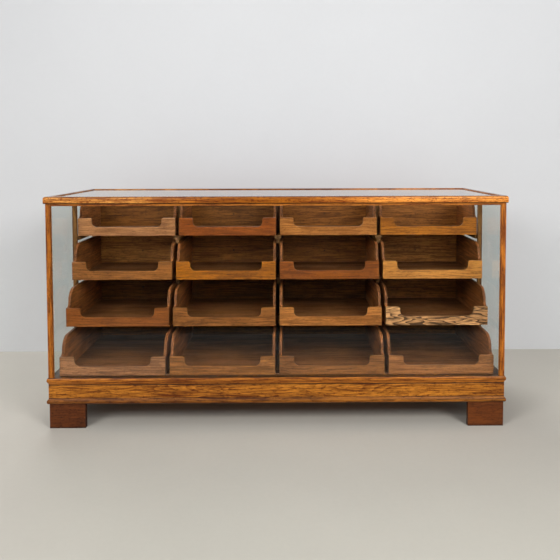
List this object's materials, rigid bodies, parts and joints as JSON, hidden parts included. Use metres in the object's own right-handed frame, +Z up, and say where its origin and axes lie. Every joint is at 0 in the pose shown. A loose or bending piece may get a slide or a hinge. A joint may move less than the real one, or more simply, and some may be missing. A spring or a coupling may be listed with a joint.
{
  "type": "shop counter",
  "caption": "Glazed oak shop counter with a glass top, front and ends and stepped display trays that draw out at the open back.",
  "frame": {"origin": "centre of the bounding box in plan, at the floor", "axes": "+X along the counter to the right as customers see it, +Y from the glazed front to the open back, +Z up"},
  "size_m": [1.829, 0.6274, 0.925],
  "materials": {
    "frame_oak": "waxed golden brown oak",
    "foot_oak": "dark red-brown waxed oak",
    "inner_oak": "aged oak",
    "tray_oak": "worn tan oak",
    "glass": "clear, faint green edge",
    "brass": "aged, satin"
  },
  "bodies": {
    "carcase": {"foot_front_left": "foot_oak", "foot_front_right": "foot_oak", "foot_back_left": "foot_oak", "foot_back_right": "foot_oak", "post_front_left": "frame_oak", "post_front_right": "frame_oak", "post_back_left": "frame_oak", "post_back_right": "frame_oak", "top_rail_front": "frame_oak", "top_rail_right": "frame_oak", "top_rail_back": "frame_oak", "top_rail_left": "frame_oak", "lower_moulding": "frame_oak", "plinth_front": "frame_oak", "plinth_back": "frame_oak", "plinth_ends": "frame_oak", "upper_moulding": "frame_oak", "deck": "inner_oak", "under_rails": "frame_oak", "glass_front": "glass", "glass_left": "glass", "glass_right": "glass", "glass_top": "glass", "front_uprights": "inner_oak", "back_uprights": "inner_oak", "column_runners": "inner_oak", "side_runners": "inner_oak", "back_rails": "inner_oak"},
    "tray_row1_col1": {"tray_row1_col1": "tray_oak", "tray_row1_col1_knob": "brass"},
    "tray_row1_col2": {"tray_row1_col2": "tray_oak", "tray_row1_col2_knob": "brass"},
    "tray_row1_col3": {"tray_row1_col3": "tray_oak", "tray_row1_col3_knob": "brass"},
    "tray_row1_col4": {"tray_row1_col4": "tray_oak", "tray_row1_col4_knob": "brass"},
    "tray_row2_col1": {"tray_row2_col1": "tray_oak", "tray_row2_col1_knob": "brass"},
    "tray_row2_col2": {"tray_row2_col2": "tray_oak", "tray_row2_col2_knob": "brass"},
    "tray_row2_col3": {"tray_row2_col3": "tray_oak", "tray_row2_col3_knob": "brass"},
    "tray_row2_col4": {"tray_row2_col4": "tray_oak", "tray_row2_col4_knob": "brass"},
    "tray_row3_col1": {"tray_row3_col1": "tray_oak", "tray_row3_col1_knob": "brass"},
    "tray_row3_col2": {"tray_row3_col2": "tray_oak", "tray_row3_col2_knob": "brass"},
    "tray_row3_col3": {"tray_row3_col3": "tray_oak", "tray_row3_col3_knob": "brass"},
    "tray_row3_col4": {"tray_row3_col4": "tray_oak", "tray_row3_col4_knob": "brass"},
    "tray_row4_col1": {"tray_row4_col1": "tray_oak", "tray_row4_col1_knob": "brass"},
    "tray_row4_col2": {"tray_row4_col2": "tray_oak", "tray_row4_col2_knob": "brass"},
    "tray_row4_col3": {"tray_row4_col3": "tray_oak", "tray_row4_col3_knob": "brass"},
    "tray_row4_col4": {"tray_row4_col4": "tray_oak", "tray_row4_col4_knob": "brass"}
  },
  "joints": [
    {"name": "tray_row1_col1_slide", "type": "slide", "parent": "carcase", "child": "tray_row1_col1", "axis": [0, 1, 0], "range_m": [0, 0.199]},
    {"name": "tray_row1_col2_slide", "type": "slide", "parent": "carcase", "child": "tray_row1_col2", "axis": [0, 1, 0], "range_m": [0, 0.199]},
    {"name": "tray_row1_col3_slide", "type": "slide", "parent": "carcase", "child": "tray_row1_col3", "axis": [0, 1, 0], "range_m": [0, 0.199]},
    {"name": "tray_row1_col4_slide", "type": "slide", "parent": "carcase", "child": "tray_row1_col4", "axis": [0, 1, 0], "range_m": [0, 0.199]},
    {"name": "tray_row2_col1_slide", "type": "slide", "parent": "carcase", "child": "tray_row2_col1", "axis": [0, 1, 0], "range_m": [0, 0.2815]},
    {"name": "tray_row2_col2_slide", "type": "slide", "parent": "carcase", "child": "tray_row2_col2", "axis": [0, 1, 0], "range_m": [0, 0.2815]},
    {"name": "tray_row2_col3_slide", "type": "slide", "parent": "carcase", "child": "tray_row2_col3", "axis": [0, 1, 0], "range_m": [0, 0.2815]},
    {"name": "tray_row2_col4_slide", "type": "slide", "parent": "carcase", "child": "tray_row2_col4", "axis": [0, 1, 0], "range_m": [0, 0.2815]},
    {"name": "tray_row3_col1_slide", "type": "slide", "parent": "carcase", "child": "tray_row3_col1", "axis": [0, 1, 0], "range_m": [0, 0.364]},
    {"name": "tray_row3_col2_slide", "type": "slide", "parent": "carcase", "child": "tray_row3_col2", "axis": [0, 1, 0], "range_m": [0, 0.364]},
    {"name": "tray_row3_col3_slide", "type": "slide", "parent": "carcase", "child": "tray_row3_col3", "axis": [0, 1, 0], "range_m": [0, 0.364]},
    {"name": "tray_row3_col4_slide", "type": "slide", "parent": "carcase", "child": "tray_row3_col4", "axis": [0, 1, 0], "range_m": [0, 0.364]},
    {"name": "tray_row4_col1_slide", "type": "slide", "parent": "carcase", "child": "tray_row4_col1", "axis": [0, 1, 0], "range_m": [0, 0.4465]},
    {"name": "tray_row4_col2_slide", "type": "slide", "parent": "carcase", "child": "tray_row4_col2", "axis": [0, 1, 0], "range_m": [0, 0.4465]},
    {"name": "tray_row4_col3_slide", "type": "slide", "parent": "carcase", "child": "tray_row4_col3", "axis": [0, 1, 0], "range_m": [0, 0.4465]},
    {"name": "tray_row4_col4_slide", "type": "slide", "parent": "carcase", "child": "tray_row4_col4", "axis": [0, 1, 0], "range_m": [0, 0.4465]}
  ]
}
